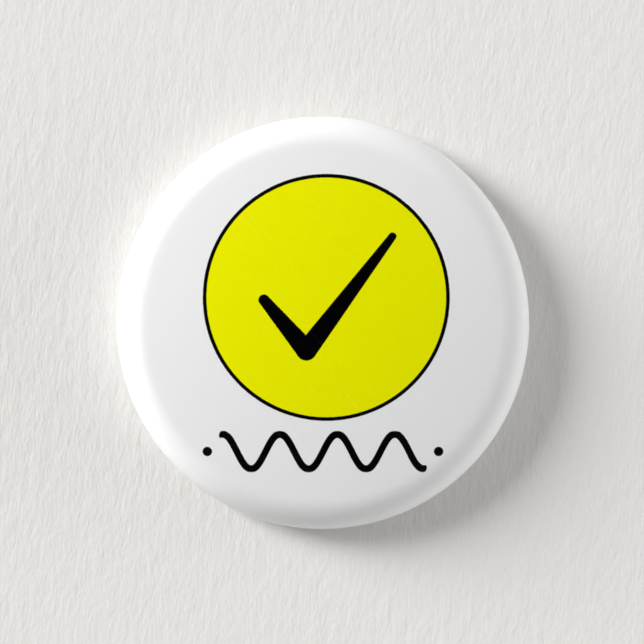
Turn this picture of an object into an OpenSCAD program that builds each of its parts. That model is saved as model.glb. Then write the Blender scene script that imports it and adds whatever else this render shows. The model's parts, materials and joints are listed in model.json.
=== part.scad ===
// Round pin-back button badge, lying on its back: +Z is the face's way out, +Y is the top of the
// artwork, and the origin is the centre of the hem's flat ring, which rests on z = 0.
// All lengths are millimetres. Every pressed or folded sheet is one bent strip, drawn as a section.

/* [Badge] */
// Finished diameter, measured over the clear film
badge_d = 31.75; // [26:0.25:44]
// Height of the wall, from the hem's ring up to where the shoulder starts
wall_top = 1.16; // [1.06:0.05:2.5]
// Radius of the gently domed face
dome_r = 120; // [90:5:250]
// Radius of the rounded shoulder between the face and the wall
shoulder_r = 2.7; // [2.2:0.1:2.9]
// Radius where the wall turns in under the badge
hem_r = 0.9; // [0.75:0.05:1.05]
// Width of the hem, from the outside of the badge to the shell's cut edge
hem_w = 1.8; // [1.7:0.05:2.4]

/* [Sheets] */
// Thickness of the clear film
film_t = 0.05; // [0.03:0.01:0.08]
// Thickness of the printed paper
paper_t = 0.1; // [0.06:0.01:0.14]
// Thickness of the front shell's tinplate
shell_t = 0.25; // [0.18:0.01:0.32]
// Thickness of the back plate's tinplate
plate_t = 0.25; // [0.18:0.01:0.32]
// Air left between two sheets that lie on each other
sheet_gap = 0.01; // [0.005:0.005:0.02]
// How far the film and paper are tucked in over the shell's cut edge
tuck_w = 0.6; // [0.3:0.05:0.8]

/* [Back plate] */
// Width of the plate's flat flange that shows inside the hem
flange_w = 1.1; // [0.8:0.05:2]
// Slope of the recess's wall
recess_slope = 70; // [55:5:80]
// Radius of the two bends of the recess's wall, at the middle of the sheet
recess_bend_r = 0.6; // [0.4:0.05:0.8]
// Radius of the bend of the plate's rim, at the middle of the sheet
rim_bend_r = 0.35; // [0.25:0.05:0.4]
// Air between the plate's rim and the inside of the shell's wall
rim_gap = 0.05; // [0.04:0.01:0.08]
// Air between the top of the rim and the inside of the shell's shoulder
rim_seat_gap = 0.02; // [0.01:0.01:0.03]

/* [Pin wire] */
// Diameter of the pin's spring wire
wire_d = 0.8; // [0.6:0.05:1]
// Radius of the wire's two bends, at the middle of the wire
wire_bend_r = 0.8; // [0.7:0.05:0.9]
// Straight link between the two bends, where the wire twists as it opens
link_len = 0.3; // [0.2:0.05:0.4]
// Slope of that link, from the fixed leg down to the moving arm
link_slope = 45; // [40:1:50]
// Height of the closed arm's axis above the hem's ring
arm_z = 0.98; // [0.9:0.02:1.2]
// Length of the ground point
taper_len = 5.5; // [4:0.25:7]
// Diameter at the very tip of the point
tip_d = 0.06; // [0.04:0.02:0.12]
// Clear space between the wire and the recess's wall at each end
end_space = 0.95; // [0.7:0.05:1.5]
// How far short of the tip the fixed leg stops
leg_short = 4; // [3.6:0.1:5]
// Gap across the wire where it is parted into its fixed and moving lengths
part_gap = 0.02; // [0.01:0.01:0.05]

/* [Straps and catch] */
// Width of each of the two straps that hold the fixed leg
strap_w = 2.4; // [1.5:0.1:3]
// Distance from each end of the fixed leg to the middle of its strap
strap_in = 2.2; // [2:0.1:3]
// Air round the wire inside a strap and against the floor
strap_gap = 0.02; // [0.01:0.01:0.05]
// Radius of the bends of the straps and the catch, at the middle of the sheet
tab_bend_r = 0.3; // [0.25:0.01:0.35]
// Slot left along each side of a strap or the catch by the cutting tool
lance_gap = 0.12; // [0.08:0.02:0.2]
// Width of the catch along the wire
catch_w = 1.7; // [1.2:0.1:2]
// Distance from the tip of the point to the catch
catch_in = 0.4; // [0.3:0.1:0.8]
// Distance from the arm's axis down to the catch's lip
catch_drop = 0.55; // [0.5:0.01:0.6]
// Air between the point and the catch's upright
catch_gap = 0.12; // [0.08:0.02:0.2]
// Air between the point and the edge of the catch's lip as the arm swings past it
swing_gap = 0.05; // [0.03:0.01:0.1]

/* [Hidden] */
$fn = 96;
bend_steps = 10;
cut_over = 1;      // how far a cutting block passes through a sheet
tab_root = 0.1;    // length of a tab's root that lies in the floor
tab_show = 0.06;   // length of the root that shows in the slot before its first bend

// Depth of each sheet's middle, measured inwards from the badge's outer surface
badge_r = badge_d / 2;
film_depth = film_t / 2;
paper_depth = film_t + sheet_gap + paper_t / 2;
shell_depth = film_t + paper_t + 2 * sheet_gap + shell_t / 2;

// The badge's section: dome, shoulder, wall and hem
dome_angle = asin((badge_r - shoulder_r) / (dome_r - shoulder_r));
badge_h = wall_top + dome_r - (dome_r - shoulder_r) * cos(dome_angle);
wall_run = wall_top - hem_r;
shell_edge_r = badge_r - hem_w;
hem_run = badge_r - hem_r - shell_edge_r;
hem_inner_r = shell_edge_r - shell_depth;
tuck_top = 2 * shell_depth;

// The wire: a fixed leg and a moving arm, side by side in a plane that slopes about X
wire_r = wire_d / 2;
tip_r = tip_d / 2;
wire_span = 2 * wire_bend_r + link_len;
leg_y = -wire_span * cos(link_slope) / 2;
arm_y = -leg_y;
leg_z = arm_z + wire_span * sin(link_slope);

// The back plate's section: rim, flange, recess wall and floor
floor_z = leg_z + wire_r + strap_gap;
flange_z = tuck_top + sheet_gap;
floor_mid_z = floor_z + plate_t / 2;
rim_r = badge_r - shell_depth - shell_t / 2 - rim_gap;
rim_mid_r = rim_r - plate_t / 2;
shoulder_in_r = shoulder_r - shell_depth - shell_t / 2;
rim_top = wall_top + sqrt(pow(shoulder_in_r - rim_seat_gap, 2) - pow(shoulder_in_r - rim_gap, 2));
rim_h = rim_top - flange_z - plate_t / 2 - rim_bend_r;
flange_in_r = hem_inner_r - flange_w;
flange_run = rim_mid_r - rim_bend_r - flange_in_r;
recess_h = floor_z - flange_z;
recess_run = (recess_h - 2 * recess_bend_r * (1 - cos(recess_slope))) / sin(recess_slope);
floor_r = flange_in_r - 2 * recess_bend_r * sin(recess_slope) - recess_run * cos(recess_slope);

// Places along the wire
bend_x = floor_r - end_space - wire_r - wire_bend_r;
tip_x = end_space - floor_r;
taper_x = tip_x + taper_len;
leg_end_x = tip_x + leg_short;
leg_chamfer = wire_r / 4;
half_link_len = (link_len - part_gap) / 2;

// The straps, which bridge the fixed leg
strap_r = wire_r + strap_gap + plate_t / 2;
strap_drop = strap_r - tab_bend_r;
strap_half = strap_r + tab_bend_r + tab_show;
strap_places = [leg_end_x + strap_in, bend_x - strap_in];

// The catch, whose lip stops short of the path of the swinging point
catch_x = tip_x + catch_in;
catch_wire_r = tip_r + (wire_r - tip_r) * (catch_in + catch_w) / taper_len;
upright_y = arm_y + catch_wire_r + catch_gap + plate_t / 2;
lip_reach = (catch_drop * sin(link_slope) - catch_wire_r - swing_gap) / cos(link_slope);
lip_mid_z = arm_z - catch_drop - plate_t / 2;
upright_run = floor_mid_z - lip_mid_z - 2 * tab_bend_r;
lip_run = upright_y - tab_bend_r - arm_y + lip_reach;
catch_root_y = upright_y + tab_bend_r + tab_show;
catch_blank = tab_show + upright_run + lip_run + PI * tab_bend_r;

// Middle line of a bent strip as [point, heading] pairs. Each move is [straight run, turn, radius].
function bent(p, a, moves, i = 0) =
    i == len(moves) ? [] :
    let (
        run = moves[i][0],
        turn = moves[i][1],
        r = turn < 0 ? -moves[i][2] : moves[i][2],
        q = p + run * [cos(a), sin(a)],
        c = q + r * [-sin(a), cos(a)],
        steps = turn == 0 ? [] : [for (k = [1:bend_steps]) a + turn * k / bend_steps],
        arc = [for (b = steps) [c + r * [sin(b), -cos(b)], b]],
        end = turn == 0 ? q : arc[bend_steps - 1][0]
    )
    concat(run > 0 ? [[q, a]] : [], arc, bent(end, a + turn, moves, i + 1));

// Outline of a sheet of thickness t along such a line
function strip(t, p, a, moves) =
    let (
        line = concat([[p, a]], bent(p, a, moves)),
        side = [for (s = line) t / 2 * [-sin(s[1]), cos(s[1])]],
        last = len(line) - 1
    )
    concat(
        [for (i = [0:last]) line[i][0] + side[i]],
        [for (i = [last:-1:0]) line[i][0] - side[i]]
    );

// Moves of a cup-shaped layer whose middle lies at a depth below the badge's outer surface
function cup_moves(depth) = [
    [0, -dome_angle, dome_r - depth],
    [0, dome_angle - 90, shoulder_r - depth],
    [wall_run, -90, hem_r - depth]
];

// A layer of the cup, turned about the badge's axis, with what its hem does after the wall
module cup(t, depth, hem_moves) {
    rotate_extrude()
        polygon(strip(t, [0, badge_h - depth], 0, concat(cup_moves(depth), hem_moves)));
}

// A layer that wraps the shell's cut edge and is tucked back over it
module wrapped_cup(t, depth) {
    cup(t, depth, [[hem_run, -180, shell_depth - depth], [tuck_w, 0, 0]]);
}

// A strip bent in the YZ plane, as wide as w along X from x
module tab(x, w, p, a, moves) {
    translate([x, 0, 0])
        rotate([90, 0, 90])
            linear_extrude(height = w)
                polygon(strip(plate_t, p, a, moves));
}

// The slot that a tab leaves in the recess's floor, from y0 to y1
module lanced_slot(x, w, y0, y1) {
    translate([x - lance_gap, y0, floor_z - cut_over])
        cube([w + 2 * lance_gap, y1 - y0, plate_t + 2 * cut_over]);
}

// The plane that the wire lies in, from the place on the fixed leg's axis where its bend starts
module wire_plane() {
    translate([bend_x, leg_y, leg_z])
        rotate([-link_slope, 0, 0])
            children();
}

// A straight length of wire along -X from height y in that plane, with a tapered end
module straight_wire(y, len, taper, end_r) {
    translate([0, y, 0])
        rotate([0, -90, 0])
            rotate_extrude()
                polygon([[0, 0], [wire_r, 0], [wire_r, len], [end_r, len + taper], [0, len + taper]]);
}

// A quarter turn of the wire about the point at height y, from an angle a
module wire_bend(y, a) {
    translate([0, y, 0])
        rotate([0, 0, a])
            rotate_extrude(angle = 90)
                translate([wire_bend_r, 0])
                    circle(r = wire_r);
}

// Half of the link between the bends, on the fixed or the moving side of the parting gap
module half_link(y) {
    translate([wire_bend_r, y, 0])
        rotate([-90, 0, 0])
            cylinder(r = wire_r, h = half_link_len);
}

// Clear film over the print, folded round the shell's edge with it
module clear_film() {
    color([0.93, 0.96, 0.98])
        wrapped_cup(film_t, film_depth);
}

// Printed paper disc between the film and the shell
module printed_paper() {
    color([0.97, 0.97, 0.96])
        wrapped_cup(paper_t, paper_depth);
}

// Pressed front shell, which gives the badge its shape
module front_shell() {
    color([0.72, 0.73, 0.74])
        cup(shell_t, shell_depth, [[hem_run, 0, 0]]);
}

// The back plate before its floor is cut: rim, flange, recess wall and floor
module plate_blank() {
    rotate_extrude()
        polygon(strip(plate_t, [rim_mid_r, rim_top], -90, [
            [rim_h, -90, rim_bend_r],
            [flange_run, -recess_slope, recess_bend_r],
            [recess_run, recess_slope, recess_bend_r],
            [floor_r, 0, 0]
        ]));
}

// Back plate with two straps over the fixed leg and one catch for the point
module back_plate() {
    color([0.78, 0.79, 0.8]) {
        difference() {
            plate_blank();
            for (x = strap_places)
                lanced_slot(x - strap_w / 2, strap_w, leg_y - strap_half, leg_y + strap_half);
            lanced_slot(catch_x, catch_w, catch_root_y - catch_blank, catch_root_y);
        }
        for (x = strap_places)
            tab(x - strap_w / 2, strap_w, [leg_y - strap_half - tab_root, floor_mid_z], 0, [
                [tab_root + tab_show, -90, tab_bend_r],
                [strap_drop, 180, strap_r],
                [strap_drop, -90, tab_bend_r],
                [tab_root + tab_show, 0, 0]
            ]);
        tab(catch_x, catch_w, [catch_root_y + tab_root, floor_mid_z], 180, [
            [tab_root + tab_show, 90, tab_bend_r],
            [upright_run, -90, tab_bend_r],
            [lip_run, 0, 0]
        ]);
    }
}

// Fixed length of the pin's wire: the leg under the straps, the first bend and half the link
module pin_wire() {
    color([0.82, 0.82, 0.83])
        wire_plane() {
            straight_wire(0, bend_x - leg_end_x - leg_chamfer, leg_chamfer, wire_r - leg_chamfer);
            wire_bend(wire_bend_r, -90);
            half_link(wire_bend_r);
        }
}

// Moving length of the wire: half the link, the second bend, the arm and its ground point
module pin_arm() {
    color([0.86, 0.86, 0.87])
        wire_plane() {
            half_link(wire_bend_r + link_len - half_link_len);
            wire_bend(wire_bend_r + link_len, 0);
            straight_wire(wire_span, bend_x - taper_x, taper_len, tip_r);
        }
}

clear_film();
printed_paper();
front_shell();
back_plate();
pin_wire();
pin_arm();
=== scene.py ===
# %% [markdown]
# # A pin-back button badge, lying on its back
#
# This script dresses a finished CAD model of a small round badge. The CAD says where every piece is and
# how the pin swings; what is made here is what the eye sees: printed paper under clear film, folded
# round a tinplate shell, and at the back a pressed plate with a springy wire pin.
#
# Everything is in metres, in the CAD's own frame: +Z comes out of the face and +Y is the artwork's top.

import json
import math
import random

import bmesh
import bpy
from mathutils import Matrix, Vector


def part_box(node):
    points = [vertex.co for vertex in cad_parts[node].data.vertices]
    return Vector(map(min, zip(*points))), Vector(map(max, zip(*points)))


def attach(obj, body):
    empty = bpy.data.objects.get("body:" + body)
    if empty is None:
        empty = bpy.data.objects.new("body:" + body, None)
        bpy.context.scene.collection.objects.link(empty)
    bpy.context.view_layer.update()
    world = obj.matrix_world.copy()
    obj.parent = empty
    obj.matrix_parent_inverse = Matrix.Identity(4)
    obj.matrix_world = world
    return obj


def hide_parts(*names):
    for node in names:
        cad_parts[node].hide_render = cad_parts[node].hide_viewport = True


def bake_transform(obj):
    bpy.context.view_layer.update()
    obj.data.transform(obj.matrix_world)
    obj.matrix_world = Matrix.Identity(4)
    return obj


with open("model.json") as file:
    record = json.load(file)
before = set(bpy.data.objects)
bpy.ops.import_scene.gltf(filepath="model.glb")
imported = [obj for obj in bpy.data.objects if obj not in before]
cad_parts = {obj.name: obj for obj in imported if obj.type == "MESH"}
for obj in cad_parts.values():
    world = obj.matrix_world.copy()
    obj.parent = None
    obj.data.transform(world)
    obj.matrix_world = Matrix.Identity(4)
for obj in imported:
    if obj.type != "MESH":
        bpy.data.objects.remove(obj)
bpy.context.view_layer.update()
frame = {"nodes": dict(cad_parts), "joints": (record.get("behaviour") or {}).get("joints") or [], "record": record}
MM = 0.001

# %% [markdown]
# ## The badge's own sizes
#
# The frame already knows the outside of every node, the wire's radius and the hinge's place, so those
# are read from it. Only what a box can't tell is written again: sheet thicknesses and bend radii.

# %% Sizes read from the frame
film_high = Vector(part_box("clear_film")[1])
wire_low = Vector(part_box("pin_wire")[0])
arm_low = Vector(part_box("pin_arm")[0])
plate_high = Vector(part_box("back_plate")[1])

hinge = frame["joints"][0]
hinge_place = Vector(hinge["pos_m"])
link_direction = -Vector(hinge["axis"]).normalized()
pin_mount = next(m for m in frame["record"]["mounts"] if m["name"] == "pin_shaft")
arm_place = Vector(pin_mount["pos_m"])
wire_r = pin_mount["dims"]["r_mm"] * MM

badge_r = film_high.x
badge_top = film_high.z

print(f"badge radius {badge_r / MM:.3f} mm, height {badge_top / MM:.3f} mm, wire radius {wire_r / MM:.2f} mm")

# %% Sizes of the sheets and their bends
dome_r = 120 * MM
shoulder_r = 2.7 * MM
hem_r = 0.9 * MM
hem_w = 1.8 * MM
tuck_w = 0.6 * MM
film_t = 0.05 * MM
paper_t = 0.10 * MM
shell_t = 0.25 * MM
plate_t = 0.25 * MM
sheet_gap = 0.01 * MM

film_depth = film_t / 2
paper_depth = film_t + sheet_gap + paper_t / 2
shell_depth = film_t + paper_t + 2 * sheet_gap + shell_t / 2
shell_edge_r = badge_r - hem_w

# %% [markdown]
# ## Bent sheets
#
# Film, paper, shell and back plate are all thin sheets. Such a sheet is easiest to draw like a
# draughtsman's bend table: start somewhere, run straight, turn round a radius, run on. `bent_line` walks
# that way along the middle of the sheet and keeps the heading at each step, so `sheet_sides` can step
# half a thickness to each side and the two faces stay parallel round every bend.

# %% Walk along a bend table
FINE_TURN = math.radians(5)
FINE_STEP = 0.5 * MM


def bent_line(start, heading, moves):
    """Points (x, y, heading) along the middle of a sheet; each move is (straight run, turn, radius)."""
    x, y, a = start[0], start[1], heading
    line = [(x, y, a)]
    for run, turn, radius in moves:
        if run > 0:
            x, y = x + run * math.cos(a), y + run * math.sin(a)
            line.append((x, y, a))
        if turn:
            r = math.copysign(radius, turn)
            cx, cy = x - r * math.sin(a), y + r * math.cos(a)
            steps = math.ceil(max(abs(turn) / FINE_TURN, abs(turn) * radius / FINE_STEP))
            for k in range(1, steps + 1):
                b = a + turn * k / steps
                line.append((cx + r * math.sin(b), cy - r * math.cos(b), b))
            x, y, a = line[-1]
    return line


def sheet_sides(line, thickness):
    """The two faces of a sheet of that thickness, as lists of (x, y) points."""
    half = thickness / 2
    left = [(x - half * math.sin(a), y + half * math.cos(a)) for x, y, a in line]
    right = [(x + half * math.sin(a), y - half * math.cos(a)) for x, y, a in line]
    return left, right


# %% [markdown]
# ## From a section to a turned piece
#
# A lathe is the natural tool for a round badge: the section is swept round Z in many small steps. Where
# the section touches the axis all steps share one point, so no pinched, zero-area faces are left over.
# A `lift` function may move points outwards round the circle, which is how the film gets its creases.

# %% Turn a closed section round the axis
AROUND = 384
ON_AXIS = 1e-9


def turned(name, section, lift=None):
    """A mesh object swept round Z from a closed section of (r, z) points."""
    angles = [2 * math.pi * k / AROUND for k in range(AROUND)]
    points, rings = [], []
    for i, (r, z) in enumerate(section):
        if r < ON_AXIS:
            rings.append([len(points)])
            points.append((0, 0, z))
            continue
        rings.append(list(range(len(points), len(points) + AROUND)))
        for a in angles:
            dr, dz = lift(i, a) if lift else (0, 0)
            points.append(((r + dr) * math.cos(a), (r + dr) * math.sin(a), z + dz))
    faces = []
    for here, there in zip(rings, rings[1:] + rings[:1]):
        for k in range(AROUND):
            n = (k + 1) % AROUND
            if len(here) == 1 and len(there) == 1:
                break
            if len(here) == 1:
                faces.append((here[0], there[n], there[k]))
            elif len(there) == 1:
                faces.append((here[k], here[n], there[0]))
            else:
                faces.append((here[k], here[n], there[n], there[k]))
    return mesh_object(name, points, faces)


def mesh_object(name, points, faces):
    """A linked mesh object whose faces all look outwards."""
    mesh = bpy.data.meshes.new(name)
    mesh.from_pydata([tuple(p) for p in points], [], faces)
    work = bmesh.new()
    work.from_mesh(mesh)
    bmesh.ops.recalc_face_normals(work, faces=work.faces)
    work.to_mesh(mesh)
    work.free()
    piece = bpy.data.objects.new(name, mesh)
    bpy.context.scene.collection.objects.link(piece)
    return piece


def smooth(piece, sharp_over=35):
    """Smooth shading that keeps edges sharper than that many degrees."""
    piece.data.shade_smooth()
    piece.data.set_sharp_from_angle(angle=math.radians(sharp_over))


# %% [markdown]
# ## The cup shape shared by film, paper and shell
#
# The three layers lie on each other, so they follow one path at three depths: the gentle dome, the round
# shoulder, a short wall and the hem. The dome and shoulder meet without a kink, which fixes the angle.

# %% The path of the cup at any depth
dome_angle = math.asin((badge_r - shoulder_r) / (dome_r - shoulder_r))
wall_top = badge_top - dome_r + (dome_r - shoulder_r) * math.cos(dome_angle)
QUARTER = math.pi / 2


def cup_line(depth, hem_moves):
    """The middle line of a layer whose middle is that far below the badge's outer surface."""
    moves = [
        (0, -dome_angle, dome_r - depth),
        (0, dome_angle - QUARTER, shoulder_r - depth),
        (wall_top - hem_r, -QUARTER, hem_r - depth),
    ]
    return bent_line((0, badge_top - depth), 0, moves + hem_moves)


def wrapped_hem(depth):
    """What film and paper do after the wall: run in, fold round the shell's cut edge, tuck back."""
    return [(hem_w - hem_r, -2 * QUARTER, shell_depth - depth), (tuck_w, 0, 0)]


print(f"the wall ends {wall_top / MM:.3f} mm above the table")
print(f"the dome turns {math.degrees(dome_angle):.2f} degrees")

# %% [markdown]
# ## Creases round the hem
#
# A flat disc can't go round a rim without spare material, so film and paper gather into small pleats
# where they turn under. They start where the hem starts and are strongest at the folded edge. Each pleat
# is a narrow bump at its own angle. Film and paper share them, so the two layers never cross.

# %% Where the pleats are
PLEATS = 84
pleat_draw = random.Random(11)
pleats = [
    (
        2 * math.pi * (k + pleat_draw.uniform(-0.34, 0.34)) / PLEATS,
        math.radians(pleat_draw.uniform(0.7, 1.7)),
        pleat_draw.uniform(0.25, 1.0),
    )
    for k in range(PLEATS)
]
FLAT_CREASE = 0.03 * MM
FOLD_CREASE = 0.075 * MM


def pleat_height(angle):
    """0 between the pleats, up to 1 on top of the tallest."""
    total = 0.0
    for place, width, height in pleats:
        away = (angle - place + math.pi) % (2 * math.pi) - math.pi
        if abs(away) < 4 * width:
            total += height * math.exp(-((away / width) ** 2))
    return min(total, 1.0)


heights = [pleat_height(2 * math.pi * k / AROUND) for k in range(AROUND)]
print(f"{PLEATS} pleats, mean height {sum(heights) / AROUND:.2f}")

# %% A wrapped layer with its pleats
def wrapped_layer(name, thickness, depth):
    """Film or paper: a turned cup whose hem is creased, folded round the shell's edge and tucked."""
    line = cup_line(depth, wrapped_hem(depth))
    left, right = sheet_sides(line, thickness)
    fold_x, fold_y = shell_edge_r, shell_depth
    hem_start = badge_r - hem_r

    def outward(x, y):
        """How far, and which way in the section, a pleat stands proud at this point of the sheet."""
        if y > hem_r:
            return 0.0, 0.0
        if x >= shell_edge_r:
            on_top = y > fold_y and x < hem_start
            share = min(max((badge_r - x) / (badge_r - shell_edge_r), 0), 1) ** 2
            return (0.0, 0.0) if on_top else (0.0, -FLAT_CREASE * share)
        reach = math.hypot(x - fold_x, y - fold_y)
        turn = abs(math.atan2(x - fold_x, fold_y - y))
        rise = FLAT_CREASE + (FOLD_CREASE - FLAT_CREASE) * math.sin(turn)
        rise *= 1 if turn < QUARTER else math.sin(turn)
        return rise * (x - fold_x) / reach, rise * (y - fold_y) / reach

    section = left + right[::-1]
    moves = [outward(x, y) for x, y in [p[:2] for p in line] + [p[:2] for p in line][::-1]]

    def lift(i, angle):
        h = heights[round(angle / (2 * math.pi) * AROUND) % AROUND]
        return moves[i][0] * h, moves[i][1] * h

    piece = turned(name, section, lift)
    smooth(piece)
    print(f"{name}: {len(piece.data.vertices)} points")
    return piece


film = wrapped_layer("film_wrap", film_t, film_depth)
paper = wrapped_layer("print_wrap", paper_t, paper_depth)

# %% [markdown]
# ## The back plate
#
# One pressing in bright tinplate: a rim braced against the shell, a flat flange, and a recess deep
# enough to keep the pin off the table. It is turned like the cup. Then three slots are cut where the
# press tool lanced the metal, and the freed strips come back as two straps and the pin's catch.

# %% Sizes of the back plate
flange_w = 1.1 * MM
recess_slope = math.radians(70)
recess_bend_r = 0.6 * MM
rim_bend_r = 0.35 * MM
rim_gap = 0.05 * MM
rim_seat_gap = 0.02 * MM
wire_gap = 0.02 * MM

leg_y, leg_z = hinge_place.y, hinge_place.z
floor_z = leg_z + wire_r + wire_gap
floor_mid_z = floor_z + plate_t / 2
flange_z = 2 * shell_depth + sheet_gap
shell_in_r = badge_r - shell_depth - shell_t / 2
rim_mid_r = shell_in_r - rim_gap - plate_t / 2
shoulder_in_r = shoulder_r - shell_depth - shell_t / 2
rim_top = wall_top + math.sqrt((shoulder_in_r - rim_seat_gap) ** 2 - (shoulder_in_r - rim_gap) ** 2)
flange_in_r = shell_edge_r - shell_depth - flange_w
recess_run = floor_z - flange_z - 2 * recess_bend_r * (1 - math.cos(recess_slope))
recess_run /= math.sin(recess_slope)
floor_r = flange_in_r - 2 * recess_bend_r * math.sin(recess_slope) - recess_run * math.cos(recess_slope)

print(f"recess floor {floor_z / MM:.3f} mm up, radius {floor_r / MM:.2f} mm")
print(f"rim radius {plate_high.x / MM:.3f} mm")

# %% Turn the blank
def plate_blank():
    """The pressing before it is lanced."""
    line = bent_line(
        (rim_mid_r, rim_top),
        -QUARTER,
        [
            (rim_top - flange_z - plate_t / 2 - rim_bend_r, -QUARTER, rim_bend_r),
            (rim_mid_r - rim_bend_r - flange_in_r, -recess_slope, recess_bend_r),
            (recess_run, recess_slope, recess_bend_r),
            (floor_r, 0, 0),
        ],
    )
    left, right = sheet_sides(line, plate_t)
    section = left + right[::-1]
    return turned("plate_pressing", [(0 if r < 1e-7 else r, z) for r, z in section])


blank = plate_blank()

# %% [markdown]
# ### Lanced tabs
#
# A lanced tab is a strip that stays joined to the sheet at its root. Both straps and the catch are such
# strips, bent in the YZ plane and as wide as the tool along X. Their long edges are eased a little, as
# a tumbled pressing's are, because a dead sharp edge never catches the light.

# %% Sizes of the straps and the catch
tab_bend_r = 0.3 * MM
tab_show = 0.06 * MM
lance_gap = 0.12 * MM
strap_w = 2.4 * MM
strap_in = 2.2 * MM
catch_w = 1.7 * MM
catch_in = 0.4 * MM
catch_drop = 0.55 * MM
catch_gap = 0.12 * MM
swing_gap = 0.05 * MM
wire_bend_r = 0.8 * MM
tip_r = 0.03 * MM
eased = 0.03 * MM

bend_x = hinge_place.x - wire_bend_r
tip_x, leg_end_x = arm_low.x, wire_low.x
arm_y, arm_z = arm_place.y, arm_place.z
taper_len = arm_place.x - pin_mount["dims"]["length_mm"] * MM / 2 - tip_x
strap_r = wire_r + wire_gap + plate_t / 2
strap_half = strap_r + tab_bend_r + tab_show
strap_places = [leg_end_x + strap_in, bend_x - strap_in]

# %% The catch's section, worked out from the point that it holds
slope_sin, slope_cos = -link_direction.z, link_direction.y
catch_x = tip_x + catch_in
point_r = tip_r + (wire_r - tip_r) * (catch_in + catch_w) / taper_len
upright_y = arm_y + point_r + catch_gap + plate_t / 2
lip_reach = (catch_drop * slope_sin - point_r - swing_gap) / slope_cos
lip_mid_z = arm_z - catch_drop - plate_t / 2
upright_run = floor_mid_z - lip_mid_z - 2 * tab_bend_r
lip_run = upright_y - tab_bend_r - arm_y + lip_reach
catch_root_y = upright_y + tab_bend_r + tab_show
catch_blank = tab_show + upright_run + lip_run + math.pi * tab_bend_r

print(f"the catch's lip reaches {lip_reach / MM:.3f} mm past the point's axis")

# %% Bend a tab, ease its long edges
def tab(name, x, width, start, heading, moves):
    """A strip as wide as width along X from x, bent in the YZ plane."""
    left, right = sheet_sides(bent_line(start, heading, moves), plate_t)
    loop = left + right[::-1]
    n = len(loop)
    points = [(x + side * width, y, z) for side in (0, 1) for y, z in loop]
    faces = [(i, (i + 1) % n, n + (i + 1) % n, n + i) for i in range(n)]
    faces += [(i, i + 1, n - 2 - i, n - 1 - i) for i in range(n // 2 - 1)]
    faces += [(n + i, n + n - 1 - i, n + n - 2 - i, n + i + 1) for i in range(n // 2 - 1)]
    piece = mesh_object(name, points, faces)
    work = bmesh.new()
    work.from_mesh(piece.data)
    roots = {0, n - 1, n // 2 - 1, n // 2, n, 2 * n - 1, n + n // 2 - 1, n + n // 2}
    work.verts.ensure_lookup_table()
    long_edges = [
        e for e in work.edges
        if e.calc_face_angle(0) > math.radians(60)
        and not {e.verts[0].index, e.verts[1].index} <= roots
    ]
    bmesh.ops.bevel(work, geom=long_edges, offset=eased, segments=2, profile=0.5, affect="EDGES")
    work.to_mesh(piece.data)
    work.free()
    return piece


strap_moves = [
    (tab_show, -QUARTER, tab_bend_r),
    (strap_r - tab_bend_r, 2 * QUARTER, strap_r),
    (strap_r - tab_bend_r, -QUARTER, tab_bend_r),
    (tab_show, 0, 0),
]
tabs = [
    tab("strap", x - strap_w / 2, strap_w, (leg_y - strap_half, floor_mid_z), 0, strap_moves)
    for x in strap_places
]
tabs.append(
    tab(
        "catch", catch_x, catch_w, (catch_root_y, floor_mid_z), math.pi,
        [(tab_show, QUARTER, tab_bend_r), (upright_run, -QUARTER, tab_bend_r), (lip_run, 0, 0)],
    )
)
print(len(tabs), "tabs bent")

# %% Cut the slots and join the tabs
def slot_cutter(x, width, y0, y1):
    """A block that cuts the slot a tab leaves behind."""
    lo = Vector((x - lance_gap, y0, floor_z - 2 * plate_t))
    hi = Vector((x + width + lance_gap, y1, floor_z + 3 * plate_t))
    corners = [(a, b, c) for a in (lo.x, hi.x) for b in (lo.y, hi.y) for c in (lo.z, hi.z)]
    sides = [(0, 1, 3, 2), (4, 6, 7, 5), (0, 4, 5, 1), (2, 3, 7, 6), (0, 2, 6, 4), (1, 5, 7, 3)]
    return mesh_object("slot_cutter", corners, sides)


def settle(piece):
    """Turn a piece's modifiers into plain mesh."""
    bpy.context.view_layer.update()
    graph = bpy.context.evaluated_depsgraph_get()
    mesh = bpy.data.meshes.new_from_object(piece.evaluated_get(graph))
    piece.modifiers.clear()
    piece.data = mesh


def join(main, others):
    """Add the other objects' meshes to the main one."""
    work = bmesh.new()
    work.from_mesh(main.data)
    for other in others:
        work.from_mesh(other.data)
        bpy.data.objects.remove(other)
    work.to_mesh(main.data)
    work.free()


cutters = [
    slot_cutter(x - strap_w / 2, strap_w, leg_y - strap_half, leg_y + strap_half)
    for x in strap_places
] + [slot_cutter(catch_x, catch_w, catch_root_y - catch_blank, catch_root_y)]
for cutter in cutters:
    cut = blank.modifiers.new("slot", "BOOLEAN")
    cut.object, cut.operation, cut.solver = cutter, "DIFFERENCE", "EXACT"
settle(blank)
for cutter in cutters:
    bpy.data.objects.remove(cutter)
join(blank, tabs)
plate = blank
smooth(plate, 30)
print(f"{plate.name}: {len(plate.data.vertices)} points, {len(plate.data.polygons)} faces")

# %% [markdown]
# ## The pin's wire
#
# The pin is one length of spring wire: a fixed leg under the straps, two tight bends with a short link
# between them, and the long arm that ends in a ground point. It is drawn as one tube swept along its own
# bend table, in the sloping plane that it lies in. The CAD parts it in the link, where the real wire
# twists; here it stays whole and is tied to neither body.

# %% Sweep the wire
WIRE_SIDES = 32
link_len = 0.3 * MM
leg_chamfer = wire_r / 4


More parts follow.
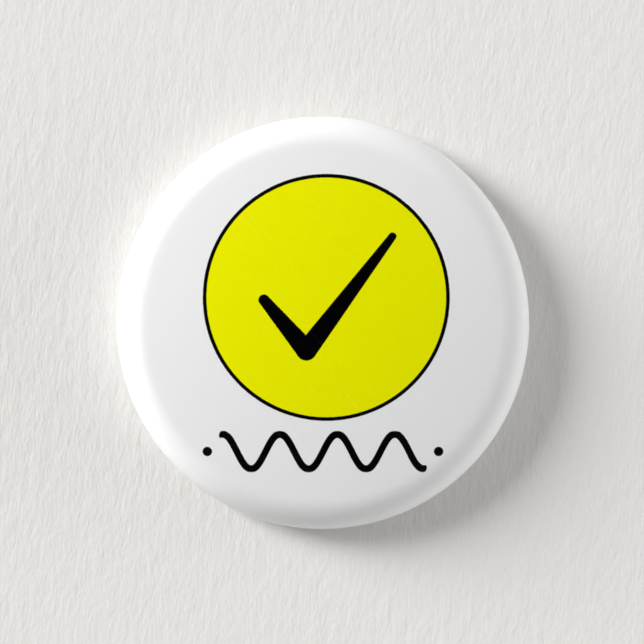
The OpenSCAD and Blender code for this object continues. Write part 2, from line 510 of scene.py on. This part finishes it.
def wire_tube():
    """The whole wire as one tube, its points in the badge's frame."""
    to_x, to_y = Vector((1, 0, 0)), link_direction
    up = to_x.cross(to_y)
    base = Vector((0, leg_y, leg_z))
    line = bent_line(
        (leg_end_x, 0),
        0,
        [
            (leg_chamfer, 0, 0),
            (bend_x - leg_end_x - leg_chamfer, QUARTER, wire_bend_r),
            (link_len, QUARTER, wire_bend_r),
            (bend_x - tip_x - taper_len, 0, 0),
        ],
    )
    rings = [(x, y, a, wire_r) for x, y, a in line]
    rings[0] = rings[0][:3] + (wire_r - leg_chamfer,)
    start_x, span_y = rings[-1][0], rings[-1][1]
    for k in range(1, 13):
        share = k / 12
        swell = 1 - share + 0.10 * math.sin(math.pi * share)
        rings.append((start_x - taper_len * share, span_y, math.pi, tip_r + (wire_r - tip_r) * swell))
    points, faces = [], []
    for x, y, a, r in rings:
        middle = base + to_x * x + to_y * y
        across = -to_x * math.sin(a) + to_y * math.cos(a)
        for k in range(WIRE_SIDES):
            t = 2 * math.pi * k / WIRE_SIDES
            points.append(middle + (across * math.cos(t) + up * math.sin(t)) * r)
    for i in range(len(rings) - 1):
        for k in range(WIRE_SIDES):
            n = (k + 1) % WIRE_SIDES
            a, b = i * WIRE_SIDES, (i + 1) * WIRE_SIDES
            faces.append((a + k, a + n, b + n, b + k))
    faces.append(tuple(range(WIRE_SIDES)))
    faces.append(tuple(range(len(points) - WIRE_SIDES, len(points))))
    return mesh_object("pin_spring_wire", points, faces)


wire = wire_tube()
smooth(wire, 40)
print(f"{wire.name}: {len(wire.data.vertices)} points, box {[round(v / MM, 2) for v in wire.dimensions]} mm")

# %% [markdown]
# ## Writing finishes as sums
#
# Every finish below is a small network of shader nodes. Wiring each node by hand hides the idea, so
# `Feed` wraps an output socket and lets plain sums such as `1 - mask * 0.2` add the Math nodes.
# `Finish.add` makes any other node: its kind, its settings, then the values or feeds of its sockets.

# %% Feed and Finish
class Feed:
    """A node's output that can stand in a sum."""

    def __init__(self, finish, socket):
        self.finish, self.socket = finish, socket

    def sum(self, operation, *terms):
        return self.finish.add("Math", {"operation": operation}, dict(enumerate(terms)))

    def __add__(self, other): return self.sum("ADD", self, other)
    def __radd__(self, other): return self.sum("ADD", other, self)
    def __sub__(self, other): return self.sum("SUBTRACT", self, other)
    def __rsub__(self, other): return self.sum("SUBTRACT", other, self)
    def __mul__(self, other): return self.sum("MULTIPLY", self, other)
    def __rmul__(self, other): return self.sum("MULTIPLY", other, self)
    def __truediv__(self, other): return self.sum("DIVIDE", self, other)
    def __pow__(self, other): return self.sum("POWER", self, other)
    def __abs__(self): return self.sum("ABSOLUTE", self)
    def root(self): return self.sum("SQRT", self)
    def sine(self): return self.sum("SINE", self)
    def cosine(self): return self.sum("COSINE", self)
    def least(self, other): return self.sum("MINIMUM", self, other)
    def most(self, other): return self.sum("MAXIMUM", self, other)
    def clipped(self): return self.most(0.0).least(1.0)

    def output(self, number):
        """Another output of the same node."""
        return Feed(self.finish, self.socket.node.outputs[number])


class Finish:
    """A material or a world being written."""

    def __init__(self, owner):
        self.owner = owner
        owner.use_nodes = True
        self.tree = owner.node_tree
        self.tree.nodes.clear()

    def add(self, kind, settings=None, inputs=None, output=0):
        node = self.tree.nodes.new("ShaderNode" + kind)
        for key, value in (settings or {}).items():
            if key == "stops":
                self.set_stops(node.color_ramp, value)
            else:
                setattr(node, key, value)
        for key, value in (inputs or {}).items():
            if isinstance(value, Feed):
                self.tree.links.new(value.socket, node.inputs[key])
            else:
                node.inputs[key].default_value = value
        return Feed(self, node.outputs[output]) if node.outputs else node

    @staticmethod
    def set_stops(ramp, stops):
        while len(ramp.elements) < len(stops):
            ramp.elements.new(0.5)
        for element, (place, grey) in zip(ramp.elements, stops):
            element.position = place
            element.color = (grey, grey, grey, 1)

    def blend(self, share, first, second):
        """A colour between two colours."""
        return self.add("Mix", {"data_type": "RGBA"}, {0: share, 6: first, 7: second}, output=2)

    def place(self, scale=(1, 1, 1)):
        """Where a point is on the piece, in millimetres, stretched as asked."""
        where = self.add("TexCoord", output=3)
        size = tuple(s / MM for s in scale)
        return self.add("Mapping", {}, {0: where, 3: size})

    def noise(self, at, scale, detail=3.0, rough=0.5, output=0):
        return self.add("TexNoise", {}, {0: at, 2: scale, 3: detail, 4: rough}, output)

    def close(self, shader):
        """Send the shader to the surface and hand back the material."""
        self.add("OutputMaterial", {}, {0: shader})
        return self.owner


print("finish kit ready")

# %% [markdown]
# ## The printed paper
#
# The artwork is drawn as shapes measured in millimetres from the badge's centre, so its edges stay crisp
# at any distance. A yellow disc with a thin black outline carries a bold tick, with a wavy line below.
# Ink creeps a little along the paper's fibres, so a faint noise pushes each edge in and out. The film
# lies flat on the print and does all the shining, so the paper itself has no shine of its own.

# %% Shapes in millimetres
EDGE = 0.045


def inside(distance):
    """1 inside a shape, 0 outside, with a soft edge as wide as EDGE."""
    return (0.5 - distance / EDGE).clipped()


def ring_distance(x, y, centre):
    """Distance from a centre."""
    return ((x - centre[0]) ** 2.0 + (y - centre[1]) ** 2.0).root()


def stroke(x, y, start, end, start_r, end_r):
    """Distance outside a straight brush stroke that swells from one radius to another."""
    dx, dy = end[0] - start[0], end[1] - start[1]
    long = dx * dx + dy * dy
    along = (((x - start[0]) * dx + (y - start[1]) * dy) / long).clipped()
    gap = ((x - start[0] - along * dx) ** 2.0 + (y - start[1] - along * dy) ** 2.0).root()
    return gap - start_r - along * (end_r - start_r)


def printed_finish():
    finish = Finish(bpy.data.materials.new("printed_paper_finish"))
    at = finish.place()
    creep = (finish.noise(at, 9.0, 2.0) - 0.5) * 0.05
    axes = finish.add("SeparateXYZ", {}, {0: at})
    x, y = axes + creep, axes.output(1) + creep

    disc_centre, disc_r, outline = (0.25, 1.91), 9.33, 0.285
    from_disc = ring_distance(x, y, disc_centre)
    tick_x, tick_y = x - disc_centre[0], y - disc_centre[1]
    tick = stroke(tick_x, tick_y, (-4.7, -0.2), (-1.5, -4.0), 0.42, 0.78)
    tick = tick.least(stroke(tick_x, tick_y, (-1.5, -4.0), (5.0, 4.6), 0.78, 0.30))

    wave_y, wave_reach, wave_high, waves = -9.75, 7.6, 1.3, 0.2303
    swing = x * (2 * math.pi * waves)
    climb = swing.cosine() * (2 * math.pi * waves * wave_high)
    off_wave = abs(y - wave_y - swing.sine() * wave_high) / (climb * climb + 1.0).root()
    past_end = (abs(x) - wave_reach).most(0.0)
    wave = (off_wave ** 2.0 + past_end ** 2.0).root() - 0.27
    dots = ring_distance(abs(x), y, (wave_reach + 1.15, wave_y)) - 0.36

    yellow = inside(from_disc - disc_r + outline / 2)
    ring = inside(abs(from_disc - disc_r + outline / 2) - outline / 2)
    black = ring.most(inside(tick)).most(inside(wave.least(dots)))

    fibre = finish.noise(finish.place((1, 0.35, 1)), 5.0, 4.0, 0.6)
    density = finish.noise(at, 0.45, 3.0)
    white = finish.blend(fibre, (0.855, 0.855, 0.86, 1), (0.88, 0.88, 0.885, 1))
    bright = finish.blend(density, (0.85, 0.855, 0.0, 1), (0.87, 0.875, 0.0, 1))
    solid = finish.blend(density, (0.0005, 0.0004, 0.0008, 1), (0.0012, 0.001, 0.0018, 1))
    colour = finish.blend(black, finish.blend(yellow, white, bright), solid)
    height = fibre * (1 - black * 0.4)
    bump = finish.add("Bump", {}, {"Strength": 0.15, "Distance": 0.003 * MM, "Height": height})
    return finish.close(
        finish.add(
            "BsdfPrincipled",
            {},
            {
                "Base Color": colour,
                "Roughness": fibre * 0.1 + 0.5,
                "Specular IOR Level": 0.0,
                "Normal": bump,
            },
        )
    )


paper.data.materials.clear()
paper.data.materials.append(printed_finish())
print("paper printed:", len(paper.data.materials[0].node_tree.nodes), "nodes")

# %% [markdown]
# ## The clear film
#
# Polyester film is see-through head on and a mirror at a glancing angle. The share that mirrors follows
# Schlick's rule, four hundredths head on. Only the outer face shines: the inner face lies on the ink.
# Handling leaves the film with soft orange-peel, faint scuffs and a few hairlines, and those only
# change the gloss and the bump.

# %% Film, scuffed by handling
def film_finish():
    finish = Finish(bpy.data.materials.new("clear_film_finish"))
    at = finish.place()
    facing = finish.add("LayerWeight", {}, {0: 0.5}, output=1)
    inner = finish.add("NewGeometry", {}, {}, output=6)
    mirror = (facing ** 5.0 * 0.96 + 0.04) * (1 - inner)

    peel = finish.noise(at, 0.9, 2.0)
    grit = finish.noise(at, 14.0, 2.0)
    scuff = finish.noise(finish.place((0.12, 3.2, 1)), 1.3, 4.0, 0.65)
    hairline = finish.add("Mapping", {}, {0: at, 2: (0, 0, 0.9)})
    hairline = finish.add("Mapping", {}, {0: hairline, 3: (0.05, 6.0, 1)})
    hairline = (finish.noise(hairline, 1.0, 3.0, 0.7) - 0.62).most(0.0) * 3.0
    rough = (scuff - 0.45).clipped() * 0.35 + grit * 0.03 + hairline.least(0.2) + 0.13
    height = peel * 0.8 + grit * 0.05 - hairline * 0.1
    bump = finish.add("Bump", {}, {"Strength": 0.35, "Distance": 0.01 * MM, "Height": height})
    shine = finish.add(
        "BsdfAnisotropic", {}, {"Color": (1, 1, 1, 1), "Roughness": rough, "Normal": bump}
    )
    clear = finish.add("BsdfTransparent", {}, {0: (0.995, 0.996, 0.994, 1)})
    return finish.close(finish.add("MixShader", {}, {0: mirror, 1: clear, 2: shine}))


film.data.materials.clear()
film.data.materials.append(film_finish())
print("film finished")

# %% [markdown]
# ## Tinplate
#
# Shell and back plate come from tin-coated steel. The mill leaves a fine grain along one way, the press
# leaves soft dents and drawn streaks, and years in a drawer leave scratches in every direction and dull
# patches where the tin has clouded. Both parts use one recipe, with the plate brighter.

# %% Tinplate, rolled, pressed and handled
def scratches(finish, at, turn, fine):
    """Thin lines along one direction, 0 to 1, broken up by a second noise."""
    turned_at = finish.add("Mapping", {}, {0: at, 2: (0, 0, turn)})
    stretched = finish.add("Mapping", {}, {0: turned_at, 3: (0.07, 1.0, 1.0)})
    lines = finish.noise(stretched, fine, 3.0, 0.6)
    return ((lines - 0.64) * 9.0).clipped() * ((finish.noise(at, 0.7, 2.0) - 0.42) * 6.0).clipped()


def tinplate_finish(name, bright, dull):
    finish = Finish(bpy.data.materials.new(name))
    at = finish.place()
    grain = finish.noise(finish.place((0.06, 9.0, 9.0)), 1.4, 4.0, 0.6)
    cloud = finish.noise(at, 0.32, 4.0, 0.6)
    stain = ((finish.noise(at, 0.75, 3.0, 0.6) - 0.58) * 5.0).clipped()
    dent = finish.noise(at, 0.55, 1.0)
    pits = ((finish.noise(at, 7.0, 2.0) - 0.70) * 8.0).clipped()
    marks = scratches(finish, at, 0.35, 6.5).most(scratches(finish, at, 1.9, 5.0))
    marks = marks.most(scratches(finish, at, 2.7, 8.0))
    colour = finish.blend(cloud, bright, dull)
    colour = finish.blend(stain * 0.35, colour, (0.50, 0.46, 0.40, 1))
    colour = finish.blend(pits * 0.6, colour, (0.26, 0.24, 0.22, 1))
    rough = grain * 0.16 + (cloud - 0.4).clipped() * 0.3 + stain * 0.12 + marks * 0.14 + 0.17
    height = grain * 0.35 + dent * 2.5 - marks * 0.5 - pits * 0.4
    bump = finish.add("Bump", {}, {"Strength": 0.45, "Distance": 0.006 * MM, "Height": height})
    return finish.close(
        finish.add(
            "BsdfPrincipled",
            {},
            {"Base Color": colour, "Metallic": 1.0, "Roughness": rough, "Normal": bump},
        )
    )


plate_tin = tinplate_finish("plate_tinplate_finish", (0.80, 0.80, 0.79, 1), (0.68, 0.68, 0.67, 1))
shell_tin = tinplate_finish("shell_tinplate_finish", (0.66, 0.66, 0.66, 1), (0.55, 0.55, 0.56, 1))
plate.data.materials.clear()
plate.data.materials.append(plate_tin)
shell = frame["nodes"]["front_shell"]
shell.data.materials.clear()
shell.data.materials.append(shell_tin)
print("tinplate on", plate.name, "and", shell.name)

# %% [markdown]
# ## Spring wire
#
# Nickel-plated music wire is smoother and a shade warmer than tinplate. Drawing leaves lines along it,
# and the ground point shows the wheel's fine rings across the taper instead.

# %% Plated wire with a ground point
def wire_finish():
    finish = Finish(bpy.data.materials.new("spring_wire_finish"))
    at = finish.place()
    drawn = finish.noise(finish.place((0.10, 14.0, 14.0)), 1.2, 3.0, 0.6)
    ground = finish.noise(finish.place((22.0, 1.2, 1.2)), 1.0, 3.0, 0.6)
    axes = finish.add("SeparateXYZ", {}, {0: at})
    on_taper = ((tip_x + taper_len) / MM - axes).clipped() * (axes.output(1) * 4.0 + 0.5).clipped()
    tarnish = ((finish.noise(at, 0.6, 4.0, 0.65) - 0.48) * 4.0).clipped()
    nick = ((finish.noise(at, 5.0, 2.0) - 0.72) * 8.0).clipped()
    colour = finish.blend(tarnish, (0.80, 0.78, 0.74, 1), (0.66, 0.62, 0.56, 1))
    colour = finish.blend(nick * 0.5, colour, (0.30, 0.28, 0.26, 1))
    lines = on_taper * ground + (1 - on_taper) * drawn
    rough = lines * 0.12 + on_taper * 0.1 + tarnish * 0.1 + 0.12
    height = lines * 0.5 + on_taper * ground * 0.6 - nick * 0.5
    bump = finish.add("Bump", {}, {"Strength": 0.4, "Distance": 0.004 * MM, "Height": height})
    return finish.close(
        finish.add(
            "BsdfPrincipled",
            {},
            {"Base Color": colour, "Metallic": 1.0, "Roughness": rough, "Normal": bump},
        )
    )


wire.data.materials.clear()
wire.data.materials.append(wire_finish())
print("wire finished")

# %% [markdown]
# ## Tying the pieces to the frame
#
# Each dressed piece stands for the CAD node that it covers. Film, paper and plate ride with the badge,
# and the CAD's own shell stays as it is under them. The wire stays in the badge's frame, tied to neither
# body; only the two ends of the stretch of its link where it would twist are worked out.

# %% Ride and replace, and where the wire would twist
for piece, node, slot in [
    (film, "clear_film", "clear_film"),
    (paper, "printed_paper", "printed_paper"),
    (plate, "back_plate", "plate_tinplate"),
]:
    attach(piece, "badge")
    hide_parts(node)

TWIST_SPARE = 0.4 * MM
twist_from = hinge_place + link_direction * (wire_bend_r - TWIST_SPARE)
twist_to = hinge_place + link_direction * (wire_bend_r + link_len + TWIST_SPARE)
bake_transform(wire)
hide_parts("pin_wire", "pin_arm")
for label, spot in ("from", twist_from), ("to", twist_to):
    print("the wire twists", label, [round(v / MM, 2) for v in spot])

# %% [markdown]
# ## The table
#
# The badge lies on soft, uncoated paper whose fibres all lean one way. Under the badge the sheet has a
# round hole that the hem hides, so light can reach the back and the opened pin has room. Seen from below
# the sheet is clear, which lets the back of the badge be looked at without turning anything over.

# %% A sheet of soft paper
def table_sheet(hole_r, half, drop):
    """A square sheet with a round hole, as rings of quads round the hole."""
    around = 128
    rings = []
    for k in range(around):
        a = 2 * math.pi * k / around
        c, s = math.cos(a), math.sin(a)
        square = half / max(abs(c), abs(s))
        rings.append([(c * r, s * r, drop) for r in (hole_r, 2 * hole_r, square)])
    points = [p for ring in rings for p in ring]
    faces = []
    for k in range(around):
        n = (k + 1) % around
        for j in range(2):
            faces.append((3 * k + j, 3 * k + j + 1, 3 * n + j + 1, 3 * n + j))
    return mesh_object("table_sheet", points, faces)


def table_finish():
    finish = Finish(bpy.data.materials.new("soft_paper_finish"))
    lean = finish.add("Mapping", {}, {0: finish.place(), 2: (0, 0, 0.12)})
    fibre = finish.noise(finish.add("Mapping", {}, {0: lean, 3: (1, 0.34, 1)}), 3.6, 5.0, 0.6)
    felt = finish.noise(finish.add("Mapping", {}, {0: lean, 3: (1, 0.4, 1)}), 1.1, 3.0, 0.5)
    tint = finish.noise(finish.place(), 0.25, 2.0)
    colour = finish.blend(tint, (0.782, 0.776, 0.745, 1), (0.780, 0.752, 0.735, 1))
    colour = finish.blend(((fibre - 0.35) * 2.0).clipped() * 0.22, colour, (0.72, 0.71, 0.69, 1))
    height = fibre + felt * 1.5
    bump = finish.add("Bump", {}, {"Strength": 1.0, "Distance": 0.042 * MM, "Height": height})
    paper_side = finish.add(
        "BsdfPrincipled",
        {},
        {"Base Color": colour, "Roughness": 0.9, "Specular IOR Level": 0.1, "Normal": bump},
    )
    below = finish.add("NewGeometry", {}, {}, output=6)
    clear = finish.add("BsdfTransparent")
    return finish.close(finish.add("MixShader", {}, {0: below, 1: paper_side, 2: clear}))


table = table_sheet(badge_r - 1.0 * MM, 0.6, -0.045 * MM)
if table.data.polygons[0].normal.z < 0:
    table.data.flip_normals()
table.data.materials.append(table_finish())
print("table ready, looking", round(table.data.polygons[0].normal.z))

# %% [markdown]
# ## Light
#
# One large soft box stands low at the upper left. It makes the bright rim there and the wide shadow on
# the other side. A pale wall on the right throws a little of it back at the far rim. The room does the
# rest: even all round, and dark overhead where the camera's stand is, which keeps black ink black under
# the film. Below, one more box and a darker half of the room give the bright metal something to mirror.

# %% Room, soft box and back light
ROOM_BRIGHT = 0.50


def room():
    world = bpy.data.worlds.new("pale_room")
    finish = Finish(world)
    way = finish.add("TexCoord", {}, {}, output=0)
    axes = finish.add("SeparateXYZ", {}, {0: way})
    overhead = ((axes.output(2) - 0.80) * 6.0).clipped()
    under = (axes.output(2) * -2.0).clipped() * (axes.output(1) * 0.5 + 0.5)
    bright = (1 - overhead) * (1 - under * 0.85) * ROOM_BRIGHT
    seen = finish.add("LightPath", {}, {}, output=0)
    bright = seen * 0.72 + (1 - seen) * bright
    air = finish.add("Background", {}, {0: (1, 1, 1, 1), 1: bright})
    finish.add("OutputWorld", {}, {0: air})
    bpy.context.scene.world = world


def soft_box(name, width, height, watts, turn, rise, away):
    """An area light that looks at the badge from a compass turn and a rise, both in degrees."""
    lamp = bpy.data.lights.new(name, "AREA")
    lamp.shape, lamp.size, lamp.size_y, lamp.energy = "RECTANGLE", width, height, watts
    box = bpy.data.objects.new(name, lamp)
    t, r = math.radians(turn), math.radians(rise)
    way = Vector((math.cos(t) * math.cos(r), math.sin(t) * math.cos(r), math.sin(r)))
    box.location = way * away
    box.rotation_euler = way.to_track_quat("Z", "Y").to_euler()
    box.visible_camera = False
    bpy.context.scene.collection.objects.link(box)
    return box


room()
soft_box("soft_box", 0.55, 0.8, 31.5, 153, 23.5, 1.5)
soft_box("back_box", 0.25, 0.25, 1.2, 215, -52, 0.45)
wall = soft_box("pale_wall", 1.2, 0.35, 7.5, 0, 9, 1.2)
wall.visible_glossy = False

# %% [markdown]
# ## Camera
#
# The badge is looked at straight down with a long lens. The distance follows from the lens and the width
# of the field that should be seen at the height of the badge's widest ring.

# %% Look straight down
lens_mm, sensor_mm = 135.0, 36.0
field = 49.436 * MM
eye = bpy.data.cameras.new("eye")
eye.lens, eye.sensor_width = lens_mm, sensor_mm
eye.clip_start, eye.clip_end = 0.001, 10
camera = bpy.data.objects.new("eye", eye)
camera.location = (-0.075 * MM, 0.045 * MM, field * lens_mm / sensor_mm + wall_top)
bpy.context.scene.collection.objects.link(camera)
bpy.context.scene.camera = camera
bpy.context.scene.view_settings.view_transform = "Standard"
print(f"camera {camera.location.z / MM:.1f} mm up")
